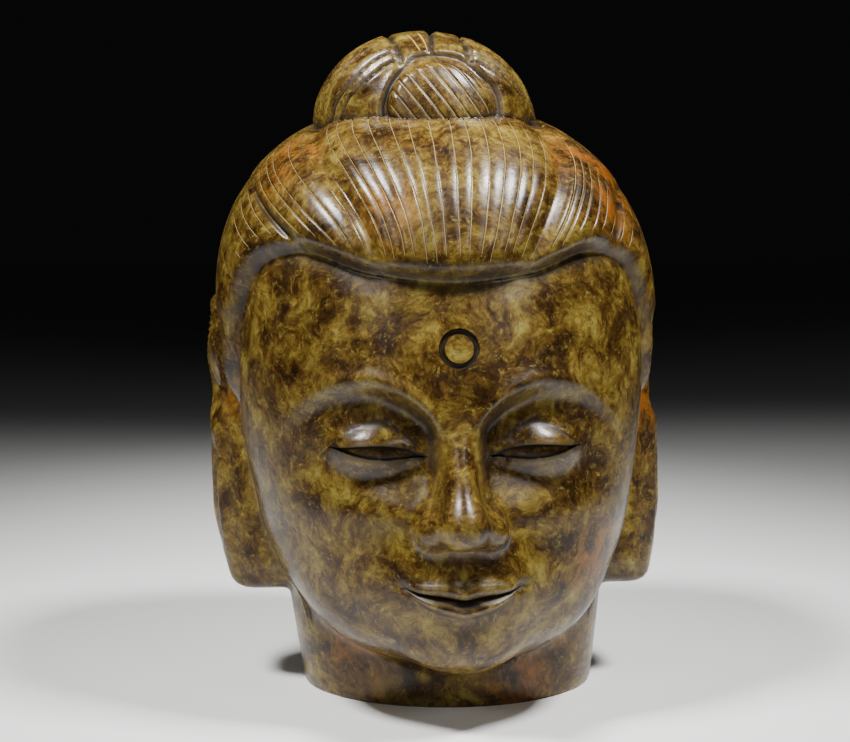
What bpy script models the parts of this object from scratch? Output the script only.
"""A carved stone head with a topknot, long ears and a short neck cut flat underneath.

Metres, +Z up, the face towards -Y, the neck standing on z = 0. The head is one solid.
Its surface is found along rays that leave one point inside it, so each ray meets it once.
Fields below are negative inside the stone and roughly the distance to its surface outside.
"""
import math

import bmesh
import bpy
import numpy as np

for old in list(bpy.data.objects):
    bpy.data.objects.remove(old, do_unlink=True)

# Driving size. The carving keeps its proportions, and one part is a 260th of the height.
HEIGHT = 0.260
PART = HEIGHT / 260

# Sizes from here on are in parts.
HEART = np.array([0.0, 4.0, 120.0])
LEAN = 0.03                      # sideways shift for each part of height
TRIANGLES = 7600                 # most triangles in the head
KNOT_TRIANGLES = 2900            # most triangles in the topknot, some of them hidden inside
COLUMNS = 224                    # rays around the head before it is simplified
KNOT_COLUMNS = 112               # and around the topknot's pad

NECK_RADII = (58.5, 50.0)
NECK_CENTRE = (1.2, 6.0)
SAW = 1.5                        # the neck runs on this far below the cut
HAIR_CENTRE = (0, 6, 148)
HAIR_RADII = (85.5, 89.5, 82.0)
HAIR_STEP = 5.5                  # the hair stands this proud of the forehead
TEMPLE_STEP = 3.4                # and this proud of the temples
KNOT_CENTRE = (-1.8, 3, 222)
KNOT_RADII = (44.0, 44.0, 38.0)
EAR_OUT = 92.0                   # half the width over the ears
EAR_FOOT = 38.0                  # height of the ear lobes' lower end
EAR_WAIST = 115.0                # height at which the shell of the ear meets its lobe
SIDEBURN_TOP = 151.0             # the locks end here in front of the ears

# Height of the hair's edge at azimuths counted in degrees from the face.
HAIRLINE = [(0, 166), (20, 169), (40, 176), (53, 172), (64, 156), (71, 132),
            (78, 115), (100, 106), (135, 84), (180, 72)]
# Strands of hair: azimuth at the hair's edge, azimuth at the topknot and how late they turn
# on the left, and the same two for the right.
STRANDS = [(0, 0, 1.9, 0, 1.9), (16.2, 66, 1.9, 52, 1.25), (19.7, 84, 1.85, 64, 1.15),
           (25, 106, 1.35, 71, 1.15), (30, 114, 1.3, 76, 1.1), (36.8, 125, 1.2, 82, 1.08),
           (40.5, 131, 1.2, 87, 1.05), (47, 143, 1.1, 98, 1.0), (56, 155, 1.05, 114, 1.0),
           (64, 159, 1.0, 130, 1.0), (74, 163, 1.0, 143, 1.0), (84, 166, 1.0, 151, 1.0),
           (124, 171, 1.0, 166, 1.0), (134, 173, 1.0, 170, 1.0), (180, 180, 1.0, 180, 1.0)]
# Locks from edge to edge, counted around the head with the face at 360, and the elevation at
# which the valley after each of them runs out.
LOCKS = [(236, 319.5, 50), (323.2, 340.3, 90), (343.8, 376.2, 90), (379.7, 403.5, 50),
         (407, 484, 62), (494, 586, 62)]
CUSHION, VALLEY = 1.7, 1.4       # height of a lock, and depth of the gap beside it
KNOT_FOOT = math.radians(67)     # elevation of the topknot's foot, seen from HEART

EYE_INNER, EYE_OUTER, EYE_HEIGHT = 13.5, 43.5, 104.0
BROW = [(0, 112), (6, 114), (12, 120), (20, 125.5), (32, 129), (44, 127), (54, 121),
        (62, 114), (75, 108)]
SOCKET = [(0, 0), (5, 1.0), (11, 6.8), (16, 7.5), (30, 5.6), (44, 3.2), (56, 1.2), (68, 0)]
MOUTH_HALF, MOUTH_HEIGHT = 21.5, 54.0
NOSE_BASE = 71.0


def ease(share):
    """0 to 1 with level ends."""
    share = np.clip(share, 0, 1)
    return share * share * (3 - 2 * share)


def rise(value, low, high):
    return ease((value - low) / (high - low))


def bell(value, width):
    return np.exp(-(value / width) ** 2)


def curve(points, value):
    """A smooth line through (x, y) points that never overshoots them."""
    x = np.array([point[0] for point in points], float)
    y = np.array([point[1] for point in points], float)
    run = np.diff(x)
    slope = np.diff(y) / run
    knot = np.zeros(len(x))
    for i in range(1, len(x) - 1):
        if slope[i - 1] * slope[i] > 0:
            before = 2 * run[i] + run[i - 1]
            after = run[i] + 2 * run[i - 1]
            knot[i] = (before + after) / (before / slope[i - 1] + after / slope[i])
    value = np.clip(value, x[0], x[-1])
    i = np.clip(np.searchsorted(x, value) - 1, 0, len(x) - 2)
    t = (value - x[i]) / run[i]
    start = (1 + 2 * t) * (1 - t) ** 2 * y[i] + t * (1 - t) ** 2 * run[i] * knot[i]
    end = t * t * (3 - 2 * t) * y[i + 1] + t * t * (t - 1) * run[i] * knot[i + 1]
    return start + end


def ellipsoid(p, centre, radii):
    q = (p - np.array(centre)) / np.array(radii)
    size = np.sqrt((q * q).sum(1)) + 1e-9
    steep = np.sqrt(((q / np.array(radii)) ** 2).sum(1)) + 1e-9
    return size * (size - 1) / steep


def block(p, centre, radii, plan, profile):
    """A squared ellipsoid: power 2 is round and higher is boxier, in plan and in profile."""
    q = np.abs(p - np.array(centre))
    flat = (q[:, 0] / radii[0]) ** plan + (q[:, 1] / radii[1]) ** plan
    size = (flat ** (profile / plan) + (q[:, 2] / radii[2]) ** profile) ** (1 / profile) + 1e-9
    return np.sqrt((q * q).sum(1)) * (1 - 1 / size)


def melt(a, b, soft):
    """Both bodies joined, with a fillet about as wide as soft."""
    share = np.clip(0.5 + 0.5 * (b - a) / soft, 0, 1)
    return b * (1 - share) + a * share - soft * share * (1 - share)


def meet(a, b, soft):
    """What two bodies share, with the edge rounded by soft."""
    return -melt(-a, -b, soft)


def tapered(p, start, end, start_radius, end_radius):
    """A rounded limb from start to end."""
    start = np.array(start, float)
    along = np.array(end, float) - start
    share = np.clip(((p - start) @ along) / (along @ along), 0, 1)
    axis = start + share[:, None] * along
    return np.linalg.norm(p - axis, axis=1) - (start_radius + (end_radius - start_radius) * share)


def mirrored(p):
    q = p.copy()
    q[:, 0] = np.abs(q[:, 0])
    return q


def azimuth_of(p):
    return np.arctan2(p[:, 0], -(p[:, 1] - HEART[1]))


# The eyes, nearly closed under heavy lids.

def eye_share(x):
    return (np.abs(x) - EYE_INNER) / (EYE_OUTER - EYE_INNER)


def upper_lid(x):
    share = np.clip(eye_share(x), 0, 1)
    arch = 3.0 * np.sin(np.pi * share ** 0.85) * (1 - 0.25 * share)
    return EYE_HEIGHT - 0.6 + 2.5 * share + arch


def lower_lid(x):
    share = np.clip(eye_share(x), 0, 1)
    return EYE_HEIGHT - 1.2 + 2.5 * share - 2.2 * np.sin(np.pi * share ** 1.1)


def lid_relief(p):
    """Height of the lids over the eyeball, with the crease above them."""
    x, z = p[:, 0], p[:, 2]
    share = eye_share(x)
    upper, lower = upper_lid(x), lower_lid(x)
    inside = rise(share, -0.12, 0.06) * (1 - rise(share, 0.94, 1.12))
    over = np.where(z >= upper, 1 - rise(z - upper, 1.0, 8.0), 0)
    under = np.where(z <= lower, 1 - rise(lower - z, 1.0, 6.0), 0)
    slit = np.where((z < upper) & (z > lower), 1.0, 0.0)
    fold = upper + 6.3 * np.sin(np.pi * np.clip(share * 0.92 + 0.04, 0, 1)) + 1.2
    crease = bell(z - fold, 0.8) * rise(share, -0.1, 0.1) * (1 - rise(share, 0.95, 1.15))
    front = rise(-p[:, 1], 20, 45)
    return ((1.3 * over + 0.9 * under - 0.5 * slit) * inside - 0.7 * crease) * front


# The brows, sockets and mouth.

def brow(x):
    return curve(BROW, np.abs(x))


def mouth_line(x):
    share = np.abs(x) / MOUTH_HALF
    return MOUTH_HEIGHT + 2.6 * np.clip(share, 0, 1.2) ** 2.2 - 0.9 * bell(share, 0.22)


def upper_lip_top(x):
    share = np.clip(np.abs(x) / MOUTH_HALF, 0, 1)
    return mouth_line(x) + 6.0 * (1 - share) ** 0.75 * (1 + 0.7 * share) - 1.4 * bell(share, 0.14)


def lower_lip_base(x):
    share = np.clip(np.abs(x) / (MOUTH_HALF * 0.93), 0, 1)
    return mouth_line(x) - 8.6 * (1 - share * share) ** 0.65


def lips(p):
    x, z = p[:, 0], p[:, 2]
    share = np.abs(x) / MOUTH_HALF
    line = mouth_line(x)
    rim = upper_lip_top(x)
    upper = 2.0 * (1 - rise(z, rim - 2.6, rim + 0.9)) * (1 - rise(share, 0.75, 1.05))
    upper = np.where(z >= line, upper, 0)
    depth = np.clip((line - z) / np.maximum(line - lower_lip_base(x), 2.0), 0, 1)
    lower = 2.9 * np.sin(np.pi * depth ** 0.85) ** 0.9 * (1 - rise(share, 0.45, 1.0))
    part = 1.8 * bell(z - line, 1.2) * (1 - rise(share, 0.95, 1.15))
    hollow = 1.1 * np.exp(-((z - line + 11.5) / 3.0) ** 2 - (x / 11) ** 2)
    philtrum = 0.8 * bell(x, 2.2) * rise(z, rim - 0.5, rim + 2) * (1 - rise(z, 66, 70))
    return upper + lower - part - hollow - philtrum


def face_relief(p):
    """Brows raised, sockets sunk and lips modelled, as height towards the front."""
    x, z = np.abs(p[:, 0]), p[:, 2]
    arch = brow(x)
    socket = curve(SOCKET, x) * rise(arch - z, -2.5, 7) * rise(z, 80, 101)
    ridge = bell(z - arch - 2.2, 3.2) * rise(x, 4, 14) * (1 - rise(x, 46, 62))
    return (ridge - socket + lips(p)) * rise(-p[:, 1], 0, 30)


# The masses of the head.

def hair_cap(p):
    return block(p, HAIR_CENTRE, HAIR_RADII, 2.3, 2.4)


def step_at(p):
    """The hair's step is full over the forehead and lower at the temples."""
    return HAIR_STEP - (HAIR_STEP - TEMPLE_STEP) * rise(np.abs(p[:, 0]), 46, 66)


def skull_field(p):
    head = block(p, (0, 4, 142), (79, 84, 82), 2.25, 2.3)
    face = block(p, (0, -6, 100), (75, 82, 83), 2.15, 2.4)
    head = melt(head, face, 18)
    head = melt(head, ellipsoid(p, (0, -44, 50), (50, 40, 29)), 18)
    head = melt(head, ellipsoid(p, (0, -66, 56), (27, 24, 22)), 14)
    head = melt(head, ellipsoid(p, (0, -69, 36), (19, 17, 14)), 12)
    forehead = hair_cap(p) + step_at(p) + 1.5
    return melt(head, forehead, 6)


def nose_field(p):
    ridge = tapered(p, (0, -79.5, 118), (0, -96.5, 82), 5.5, 8.2)
    ball = ellipsoid(p, (0, -97, 80.5), (9.2, 10.0, 8.2))
    wing = ellipsoid(mirrored(p), (10.6, -90, 77), (5.4, 9.0, 6.2))
    return melt(melt(ridge, ball, 5), wing, 5)


def eyeball_field(p):
    return ellipsoid(mirrored(p), (28.5, -64.5, 104.5), (18.5, 17.0, 14.0))


def neck_field(p):
    flare = 1 + 0.09 * np.clip(p[:, 2] / 40, 0, 1)
    across = (p[:, 0] - NECK_CENTRE[0]) / NECK_RADII[0]
    ring = np.hypot(across, (p[:, 1] - NECK_CENTRE[1]) / NECK_RADII[1]) / flare
    side = (ring - 1) * sum(NECK_RADII) / 2
    return meet(meet(side, -p[:, 2] - SAW, 3.5), p[:, 2] - 100, 5)


# The ears: a flat shell with a rolled rim above and a long lobe below.

def ear_outline(y, z):
    """Negative inside the ear, seen from the side."""
    shell = (np.hypot((y - 16) / 20, (z - 131) / 27) - 1) * 20
    half = (120 - EAR_FOOT) / 2
    across = np.abs(y - 9 - (z - 80) * 0.06) - 4.5
    along = np.abs(z - EAR_FOOT - half) - half + 12
    lobe = np.hypot(np.maximum(across, 0), np.maximum(along, 0)) - 12
    return melt(shell, lobe, 9)


def ear_relief(y, z):
    edge = -ear_outline(y, z)
    rim = 1.4 * bell(edge - 3.4, 2.2) * rise(z, 92, 110)
    groove = 2.2 * bell(edge - 8.4, 2.5) * rise(z, 100, 116)
    bowl = 4.5 * np.exp(-((y - 11) / 7) ** 2 - ((z - 122) / 12) ** 2)
    slot = 2.2 * bell(y - 9, 2.6) * rise(z, 52, 62) * (1 - rise(z, 92, 102))
    return rim - groove - bowl - slot


def ear_field(p):
    x, y, z = np.abs(p[:, 0]), p[:, 1], p[:, 2]
    foot = 7.5 * (1 - rise(z, EAR_FOOT - 8, EAR_FOOT + 34)) + 2.0 * bell(z - EAR_WAIST, 9)
    out = x - EAR_OUT + foot + 4.0 * rise(z, 128, 162)
    front = (x - (EAR_OUT - 8) - y) * 0.7
    flank = meet(out - ear_relief(y, z), front, 4)
    return meet(ear_outline(y, z), flank, 6)


# The hair: locks like cushions between smooth valleys.

def hairline(azimuth):
    return curve(HAIRLINE, np.degrees(np.abs(azimuth)))


def over_hairline(p):
    """Distance above the hair's edge, measured square to it."""
    azimuth = np.abs(azimuth_of(p))
    reach = 0.02
    ahead = hairline(azimuth + reach)
    behind = hairline(np.maximum(azimuth - reach, 0))
    radius = np.hypot(p[:, 0], p[:, 1] - HEART[1]) + 1e-6
    slope = (ahead - behind) / (2 * reach) / radius
    return (p[:, 2] - hairline(azimuth)) / np.sqrt(1 + slope ** 2)


def strand_foot(start):
    """Elevation at which this strand leaves the hair's edge."""
    return np.arctan2(hairline(np.radians(start)) - HEART[2], HAIR_RADII[0])


def along_strand(start, top, late, elevation):
    """Azimuth, in degrees, that a strand has reached at this elevation."""
    foot = strand_foot(start)
    climb = np.clip((elevation - foot) / (KNOT_FOOT - foot), 0, 1)
    return start + (top - start) * climb ** late


def elevation_at(p):
    return np.arctan2(p[:, 2] - HEART[2], np.hypot(p[:, 0], p[:, 1] - HEART[1]))


def strand_at(p):
    """Which strand passes here, named by its azimuth at the edge, from 236 to 596 degrees."""
    turn = np.degrees(azimuth_of(p))
    azimuth = np.abs(turn)
    elevation = elevation_at(p)
    strand = np.zeros(len(p))
    for side in (0, 1):
        here_side = (turn < 0) == (side == 0)
        for one, other in zip(STRANDS, STRANDS[1:]):
            here = along_strand(one[0], one[1 + 2 * side], one[2 + 2 * side], elevation)
            there = along_strand(other[0], other[1 + 2 * side], other[2 + 2 * side], elevation)
            share = (azimuth - here) / (there - here)
            name = one[0] + (other[0] - one[0]) * share
            strand = np.where(here_side & (share >= 0) & (share <= 1), name, strand)
    first = LOCKS[0][0]
    return (strand * np.where(turn < 0, -1, 1) - first) % 360 + first


def lock_relief(p):
    """Locks stand up as cushions, and the gaps between them are smooth valleys."""
    strand = strand_at(p)
    elevation = np.degrees(elevation_at(p))
    relief = np.zeros(len(p))
    after = LOCKS[1:] + [(LOCKS[0][0] + 360, 0, 0)]
    for (left, right, reach), (following, _, _) in zip(LOCKS, after):
        share = (2 * strand - left - right) / (right - left)
        relief = np.where(np.abs(share) <= 1, CUSHION * (1 - share ** 4), relief)
        share = (strand - right) / (following - right)
        relief = np.where((share > 0) & (share < 1), -VALLEY * np.sin(np.pi * share), relief)
    for (left, right, reach), (following, _, _) in zip(LOCKS, after):
        apart = np.abs(strand - (right + following) / 2) - (following - right) / 2
        closed = rise(elevation, reach - 9, reach) * (1 - rise(apart, 1, 7))
        relief = relief * (1 - closed) + CUSHION * closed
    rounded = 1.6 * (1 - rise(over_hairline(p), 2, 15)) ** 2
    return relief * rise(over_hairline(p), 0, 8) - rounded


def ear_bed(p):
    """How far the hair sinks around the ears, and the plain sideburn in front of them."""
    y, z = p[:, 1], p[:, 2]
    beside = rise(np.abs(p[:, 0]), 50, 62)
    around = 4.0 * (1 - rise(ear_outline(y, z), 1, 12))
    sideburn = 1.5 * (1 - rise(z, SIDEBURN_TOP - 4, SIDEBURN_TOP + 3)) * (1 - rise(y, 0, 12))
    return np.maximum(around, sideburn) * beside


def hair_field(p):
    nape = ellipsoid(p, (0, 14, 96), (64, 60, 52))
    proud = skull_field(p) - step_at(p)
    sunk = ear_bed(p)
    plain = rise(sunk, 1.2, 3.0)
    return melt(melt(hair_cap(p), nape, 20), proud, 5) - lock_relief(p) * (1 - plain) + sunk + 0.6


# The topknot: a pad in front, an arch around it and locks swept to both sides.

PAD_TILT = math.radians(12)
PAD_TURN = math.radians(4.5)
PAD_SIZE = 20.8
# How wide the arch reaches in each direction around the pad, 0 being straight up.
ARCH_REACH = [(-180, 24.5), (-97, 24.4), (-66, 22.9), (-41, 23.8), (-29, 25.5), (-16, 27.6),
              (0, 27.8), (22, 28.3), (34, 27.1), (49, 25.8), (71, 27.0), (94, 26.6), (180, 24.5)]
# How far the swept ridges have drifted outwards in each direction.
DRIFT = [(0, 0), (28, 0), (42, 2.2), (58, 3.9), (70, 6.4), (80, 10.5), (90, 13.5), (120, 20), (180, 26)]
RIDGES = (27.4, 34.2, 40.8, 54.0, 62.0)


def from_pad(p):
    """Distance from the pad's middle over the topknot, and direction around it from the top."""
    q = (p - np.array(KNOT_CENTRE)) / np.array(KNOT_RADII)
    q = q / (np.linalg.norm(q, axis=1)[:, None] + 1e-9)
    across = q[:, 0] * math.cos(PAD_TURN) + q[:, 1] * math.sin(PAD_TURN)
    front = q[:, 0] * math.sin(PAD_TURN) - q[:, 1] * math.cos(PAD_TURN)
    ahead = front * math.cos(PAD_TILT) + q[:, 2] * math.sin(PAD_TILT)
    up = q[:, 2] * math.cos(PAD_TILT) - front * math.sin(PAD_TILT)
    away = np.arccos(np.clip(ahead, -1, 1)) * KNOT_RADII[0]
    return away, np.arctan2(across, up)


def swept_reach(away, around):
    """Like away, less the drift, so it stays the same along a swept ridge."""
    turn = np.degrees(np.abs(around))
    return away - curve(DRIFT, turn) * np.where(around > 0, 1.35, 1.0)


def knot_relief(p):
    """The pad, the arch around it, the parted tuft above and the ridges swept to the sides."""
    away, around = from_pad(p)
    degrees = np.degrees(around)
    turn = np.abs(degrees)
    across = away * np.sin(around)
    edge = curve(ARCH_REACH, degrees)
    pad = 1.7 * (1 - rise(away, PAD_SIZE - 4.5, PAD_SIZE + 0.6))
    arch = -1.9 * rise(away, PAD_SIZE - 0.9, PAD_SIZE + 0.8) * (1 - rise(away, edge - 1.6, edge + 0.6))
    fading = 1 - rise(away, 66, 84)
    beyond = rise(away, edge - 0.5, edge + 1.5) * fading
    tuft_edge = 13.8 + 0.17 * (away - 25)
    side = rise(np.abs(across) - tuft_edge, -0.5, 1.5) + (turn > 60)
    side = np.clip(side, 0, 1) * beyond
    reach = swept_reach(away, around)
    sweep = 0.9 * bell(reach - 24.5, 3.0) * rise(turn, 40, 70)
    for ridge in RIDGES:
        sweep = sweep - 1.3 * bell(reach - ridge, 1.1) + 0.6 * bell(reach - ridge + 2.4, 1.6)
    sweep = sweep - 0.9 * rise(reach, 40.8, 42.2) * (1 - rise(reach, 46.5, 48.5))
    parting = -1.8 * bell(np.abs(across) - tuft_edge, 1.4) * beyond * (turn < 75)
    notch = -2.3 * bell(across + 1.4 - 0.165 * (away - 27), 1.5) * beyond * (turn < 75)
    back = 1 - rise(away, 84, 100)
    return (pad + arch + sweep * side + parting + notch) * back


def knot_field(p):
    return ellipsoid(p, KNOT_CENTRE, KNOT_RADII) - knot_relief(p)


def head_field(p):
    """Everything but the topknot."""
    skull = melt(skull_field(p), nose_field(p), 6.5) - face_relief(p)
    skull = melt(skull, eyeball_field(p), 2.5) - lid_relief(p)
    gap = over_hairline(p)
    wall = rise(gap, -1.0, 4.8)
    cove = 1.1 * bell(gap + 1.6, 2.2)
    head = skull * (1 - wall) + hair_field(p) * wall + cove
    head = melt(head, neck_field(p), 5)
    head = melt(head, ear_field(p), 2)
    return np.maximum(head, -p[:, 2] - SAW)


# Rays from the heart, and the rows in which they stand.

def cast(azimuth, elevation):
    """Points where the rays leave the stone."""
    level = np.cos(elevation)
    ray = np.stack([np.sin(azimuth) * level, -np.cos(azimuth) * level, np.sin(elevation)], -1)
    near = np.zeros(len(ray))
    far = np.full(len(ray), 175.0)
    for _ in range(22):
        middle = (near + far) / 2
        inside = head_field(HEART + ray * middle[:, None]) < 0
        near = np.where(inside, middle, near)
        far = np.where(inside, far, middle)
    return HEART + ray * ((near + far) / 2)[:, None]


def elevation_of(azimuth, above):
    """Elevation at which each column of rays crosses a line drawn on the stone."""
    low = np.full(len(azimuth), -1.2)
    high = np.full(len(azimuth), 1.15)
    for _ in range(18):
        middle = (low + high) / 2
        over = above(cast(azimuth, middle)) > 0
        high = np.where(over, middle, high)
        low = np.where(over, low, middle)
    return (low + high) / 2


def column_azimuths(count):
    """Azimuths of the columns, closer together over the face than behind."""
    fine = np.radians(np.linspace(0, 180, 1801))
    crowding = curve([(0, 1.6), (35, 1.45), (65, 1.0), (75, 1.1), (112, 0.9), (180, 0.5)],
                     np.degrees(fine))
    total = np.concatenate([[0], np.cumsum((crowding[1:] + crowding[:-1]) / 2)])
    half = np.interp((np.arange(count // 2) + 0.5) / (count // 2), total / total[-1], fine)
    return np.concatenate([-half[::-1], half])


def row_elevations(azimuth):
    """Rows of rays laid along the hair's edge, the lids, the lips and the neck."""
    def line(height, drop):
        """A line at this height on the face that runs on below the hair at the sides."""
        def above(p):
            beside = rise(np.abs(p[:, 0]), 46, 62)
            level = height(p[:, 0]) * (1 - beside) + height(np.full(len(p), 30.0)) * beside
            return p[:, 2] - np.minimum(level, hairline(azimuth) - drop)
        return elevation_of(azimuth, above)

    def above_lips(x):
        x = np.clip(x, -MOUTH_HALF, MOUTH_HALF)
        return np.maximum(upper_lip_top(x) + 0.5, mouth_line(x) + 3.5)

    def below_lips(x):
        x = np.clip(x, -MOUTH_HALF, MOUTH_HALF)
        return np.minimum(lower_lip_base(x), mouth_line(x) - 4.5)

    reach = np.hypot(NECK_RADII[0] * np.sin(azimuth), NECK_RADII[1] * np.cos(azimuth)) - 4.0
    rim = -np.arctan2(HEART[2] + SAW, reach)
    lines = [
        (np.full(len(azimuth), math.pi / 2), 4),
        (np.full(len(azimuth), KNOT_FOOT), 28),
        (elevation_of(azimuth, lambda p: over_hairline(p) - 5.2), 9),
        (elevation_of(azimuth, lambda p: over_hairline(p) + 2.5), 16),
        (line(lambda x: upper_lid(x) + 8, 9), 8),
        (line(lambda x: upper_lid(x) + 0.3, 13), 4),
        (line(lambda x: lower_lid(x) - 0.3, 17), 16),
        (line(lambda x: NOSE_BASE + 0 * x, 24), 6),
        (line(above_lips, 26), 5),
        (line(lambda x: mouth_line(np.clip(x, -MOUTH_HALF, MOUTH_HALF)), 30), 8),
        (line(below_lips, 35), 18),
        (np.full(len(azimuth), -math.radians(62)), 8),
    ]
    rows = []
    ends = [start for start, _ in lines[1:]] + [rim]
    for (start, count), end in zip(lines, ends):
        for step in range(count):
            rows.append(start + (end - start) * step / count)
    rows.append(rim)
    return np.array(rows[1:])


def closed_mesh(name, first, rings, last):
    """A closed skin through a first point, rings of points and a last point."""
    count = rings.shape[1]
    points = np.concatenate([[first], rings.reshape(-1, 3), [last]])
    points[:, 0] -= LEAN * points[:, 2]
    points *= PART
    foot = len(points) - 1

    def at(row, column):
        return 1 + row * count + column % count

    faces = []
    for column in range(count):
        faces.append((0, at(0, column), at(0, column + 1)))
        faces.append((foot, at(len(rings) - 1, column + 1), at(len(rings) - 1, column)))
    for row in range(len(rings) - 1):
        for column in range(count):
            faces.append((at(row, column), at(row + 1, column),
                          at(row + 1, column + 1), at(row, column + 1)))
    mesh = bpy.data.meshes.new(name)
    mesh.from_pydata([tuple(point) for point in points], [], faces)
    return mesh


def head_mesh():
    azimuth = column_azimuths(COLUMNS)
    rows = row_elevations(azimuth)
    rings = cast(np.broadcast_to(azimuth, rows.shape).ravel(), rows.ravel())
    crown = cast(np.zeros(1), np.full(1, math.pi / 2))[0]
    under = np.array([HEART[0], HEART[1], -SAW])
    return closed_mesh("head", crown, rings.reshape(len(rows), -1, 3), under)


def knot_mesh():
    """The topknot's skin, with its rings around the middle of the pad."""
    away = np.concatenate([np.arange(1.5, 19, 1.5), np.arange(19, 30, 0.9),
                           np.arange(30, 70, 1.6), np.arange(70, 136, 6.0)])
    around = np.arange(KNOT_COLUMNS) * 2 * math.pi / KNOT_COLUMNS
    away, around = np.meshgrid(away / KNOT_RADII[0], -around, indexing="ij")
    front = np.array([math.sin(PAD_TURN), -math.cos(PAD_TURN), 0])
    beside = np.array([math.cos(PAD_TURN), math.sin(PAD_TURN), 0])
    ahead = front * math.cos(PAD_TILT) + np.array([0, 0, math.sin(PAD_TILT)])
    up = np.array([0, 0, math.cos(PAD_TILT)]) - front * math.sin(PAD_TILT)

    def skin(away, around):
        flat = np.cos(around)[..., None] * up + np.sin(around)[..., None] * beside
        ray = np.cos(away)[..., None] * ahead + np.sin(away)[..., None] * flat
        ray = ray.reshape(-1, 3) * np.array(KNOT_RADII)
        near, far = np.full(len(ray), 0.5), np.full(len(ray), 1.4)
        for _ in range(22):
            middle = (near + far) / 2
            inside = knot_field(np.array(KNOT_CENTRE) + ray * middle[:, None]) < 0
            near = np.where(inside, middle, near)
            far = np.where(inside, far, middle)
        return np.array(KNOT_CENTRE) + ray * near[:, None]

    rings = skin(away, around).reshape(*away.shape, 3)
    first = skin(np.zeros(1), np.zeros(1))[0]
    last = skin(np.full(1, math.pi), np.zeros(1))[0]
    return closed_mesh("knot", first, rings, last)


def placed(name, mesh):
    piece = bpy.data.objects.new(name, mesh)
    bpy.context.scene.collection.objects.link(piece)
    return piece


def simplify(stone, most):
    """At most this many triangles, fewer where the stone is plain."""
    bpy.context.view_layer.objects.active = stone
    triangles = sum(len(face.vertices) - 2 for face in stone.data.polygons)
    fewer = stone.modifiers.new("fewer triangles", "DECIMATE")
    fewer.ratio = most / triangles
    bpy.ops.object.modifier_apply(modifier=fewer.name)


def unite(stone, other):
    """Joins another closed skin to the stone, with a sharp crease where they meet."""
    bpy.context.view_layer.objects.active = stone
    joined = stone.modifiers.new("joined", "BOOLEAN")
    joined.operation = "UNION"
    joined.solver = "EXACT"
    joined.object = other
    bpy.ops.object.modifier_apply(modifier=joined.name)
    bpy.data.objects.remove(other, do_unlink=True)


def cut_flat(mesh):
    """Saws the neck off at z = 0 and closes it with one flat face."""
    work = bmesh.new()
    work.from_mesh(mesh)
    everything = work.verts[:] + work.edges[:] + work.faces[:]
    bmesh.ops.bisect_plane(work, geom=everything, plane_co=(0, 0, 0), plane_no=(0, 0, 1),
                           clear_inner=True)
    rim = [edge for edge in work.edges if edge.is_boundary]
    for vert in {vert for edge in rim for vert in edge.verts}:
        vert.co.z = 0.0
    bmesh.ops.contextual_create(work, geom=rim)
    bmesh.ops.recalc_face_normals(work, faces=work.faces[:])
    work.to_mesh(mesh)
    work.free()


def polished_stone():
    """Brown-green soft stone, polished."""
    material = bpy.data.materials.new("polished_stone")
    material.use_nodes = True
    shader = material.node_tree.nodes["Principled BSDF"]
    shader.inputs["Base Color"].default_value = (0.130, 0.090, 0.032, 1)
    shader.inputs["Roughness"].default_value = 0.32
    return material


def carved_head(name):
    stone = placed(name, head_mesh())
    simplify(stone, TRIANGLES)
    knot = placed("knot", knot_mesh())
    simplify(knot, KNOT_TRIANGLES)
    unite(stone, knot)
    cut_flat(stone.data)
    stone.data.materials.append(polished_stone())
    return stone


head = carved_head("stone_head")
print(head.name, len(head.data.polygons), "faces,",
      [round(size * 1000, 1) for size in head.dimensions], "mm")
